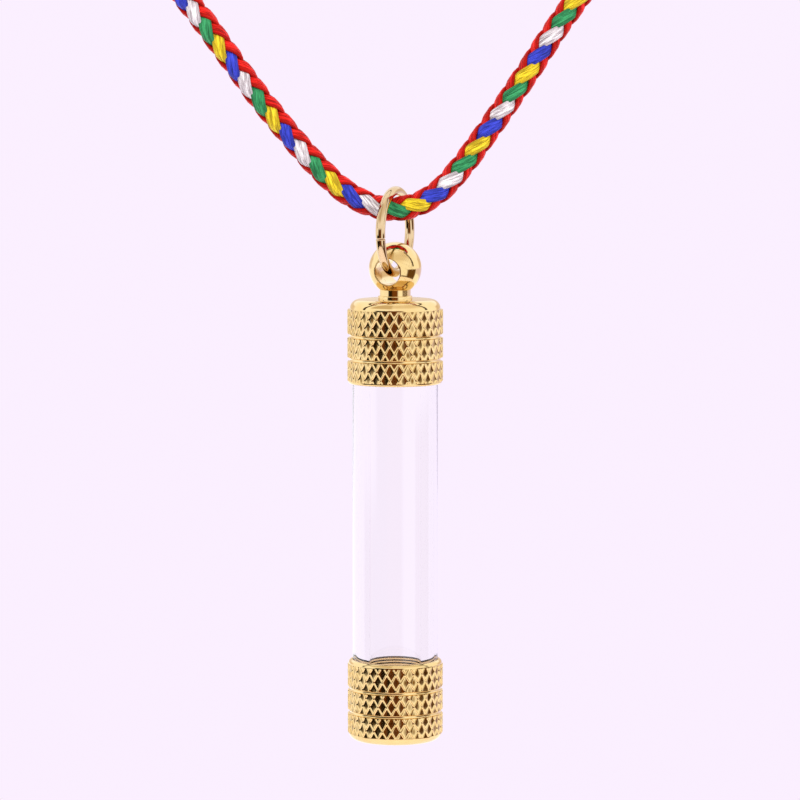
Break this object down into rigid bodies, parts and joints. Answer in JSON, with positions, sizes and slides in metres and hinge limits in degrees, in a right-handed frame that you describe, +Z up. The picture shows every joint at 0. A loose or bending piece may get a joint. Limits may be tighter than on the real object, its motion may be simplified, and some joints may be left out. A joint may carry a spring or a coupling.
{
  "type": "bottle pendant necklace",
  "caption": "Clear glass tube bottle between knurled gold caps, hung by a ball and jump ring on a braided multicolour cord necklace.",
  "frame": {"origin": "underside of the cord's sleeve at the top of the loop, where a neck carries the necklace", "axes": "+Z up, against the way the bottle hangs; +X to the viewer's right, along the sleeve; the front faces -Y, and a neck passes through the loop along Y"},
  "size_m": [0.1486, 0.012, 0.2115],
  "materials": {
    "cord": "silky braid of red, green, yellow, blue and white strands",
    "sleeve_gold": "polished gold plate",
    "ring_gold": "polished pale gold plate",
    "cap_gold": "polished gold plate over turned and knurled metal",
    "tube_glass": "clear, polished"
  },
  "bodies": {
    "necklace": {"cord": "cord", "cord_sleeve": "sleeve_gold"},
    "ring": {"jump_ring": "ring_gold"},
    "bottle": {"top_cap": "cap_gold", "glass_tube": "tube_glass"},
    "bottom_cap": {"bottom_cap": "cap_gold"}
  },
  "joints": [
    {"name": "ring_swing", "type": "hinge", "parent": "necklace", "child": "ring", "pos_m": [0, 0, -0.14], "axis": [1, 0, 0], "range_deg": [-75, 75]},
    {"name": "bottle_swing", "type": "hinge", "parent": "ring", "child": "bottle", "pos_m": [0, 0, -0.14775], "axis": [0.3584, 0.9336, 0], "range_deg": [-75, 75]},
    {"name": "cap_off", "type": "slide", "parent": "bottle", "child": "bottom_cap", "axis": [0, 0, -1], "range_m": [0, 0.025]}
  ]
}
